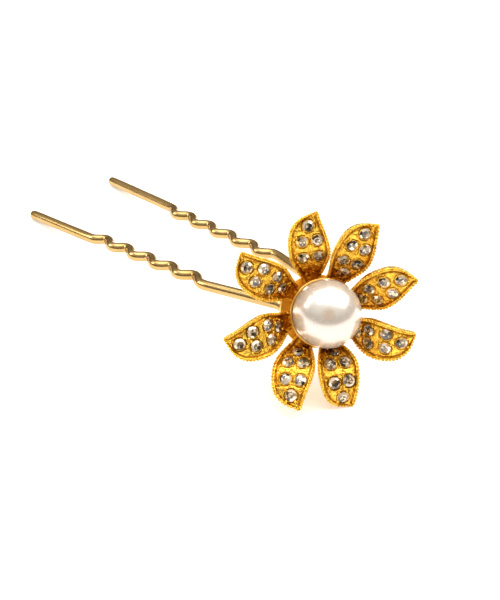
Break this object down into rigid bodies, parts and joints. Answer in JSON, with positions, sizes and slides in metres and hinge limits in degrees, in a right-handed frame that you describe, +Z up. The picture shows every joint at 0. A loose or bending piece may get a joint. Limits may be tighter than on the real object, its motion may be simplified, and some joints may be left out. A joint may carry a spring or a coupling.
{
  "type": "decorative hair pin",
  "caption": "Two-prong hair pin of crimped gold wire, carrying a cast flower with stone-set petals and a pearl in the middle.",
  "frame": {"origin": "middle of the object's box, on the surface that the pin lies on", "axes": "+Z up from that surface; +Y along the pin, from the flower towards the prong tips; +X to the right when the flower is seen from the front"},
  "size_m": [0.0268, 0.0778, 0.0261],
  "materials": {
    "wire": "pale gold plate, smooth and bright",
    "cast_gold": "rich yellow gold plate on a grained casting, polished border",
    "polished_gold": "rich yellow gold plate, polished",
    "crystal": "clear faceted glass on silver foil",
    "pearl": "off-white pearl lustre with a faint pink overtone, glossy"
  },
  "bodies": {
    "root": {"hairpin_wire": "wire", "back_disc": "cast_gold", "pearl_peg": "cast_gold", "pearl_cup": "polished_gold", "pearl": "pearl", "petal_a": "cast_gold", "petal_b": "cast_gold", "petal_c": "cast_gold", "petal_d": "cast_gold", "petal_e": "cast_gold", "petal_f": "cast_gold", "petal_g": "cast_gold", "petal_h": "cast_gold", "stone_a_tip": "crystal", "stone_a_outer_left": "crystal", "stone_a_outer_right": "crystal", "stone_a_inner_left": "crystal", "stone_a_inner_right": "crystal", "stone_b_tip": "crystal", "stone_b_outer_left": "crystal", "stone_b_outer_right": "crystal", "stone_b_inner_left": "crystal", "stone_b_inner_right": "crystal", "stone_b_base": "crystal", "stone_c_tip": "crystal", "stone_c_outer_left": "crystal", "stone_c_outer_right": "crystal", "stone_c_inner_left": "crystal", "stone_c_inner_right": "crystal", "stone_c_base": "crystal", "stone_d_tip": "crystal", "stone_d_outer_left": "crystal", "stone_d_outer_right": "crystal", "stone_d_inner_left": "crystal", "stone_d_inner_right": "crystal", "stone_d_base": "crystal", "stone_e_tip": "crystal", "stone_e_outer_left": "crystal", "stone_e_outer_right": "crystal", "stone_e_inner_left": "crystal", "stone_e_inner_right": "crystal", "stone_e_base": "crystal", "stone_f_tip": "crystal", "stone_f_outer_left": "crystal", "stone_f_outer_right": "crystal", "stone_f_inner_left": "crystal", "stone_f_inner_right": "crystal", "stone_f_base": "crystal", "stone_g_tip": "crystal", "stone_g_outer_left": "crystal", "stone_g_outer_right": "crystal", "stone_g_inner_left": "crystal", "stone_g_inner_right": "crystal", "stone_g_base": "crystal", "stone_h_tip": "crystal", "stone_h_outer_left": "crystal", "stone_h_outer_right": "crystal", "stone_h_inner_left": "crystal", "stone_h_inner_right": "crystal", "stone_h_base": "crystal"}
  },
  "joints": []
}
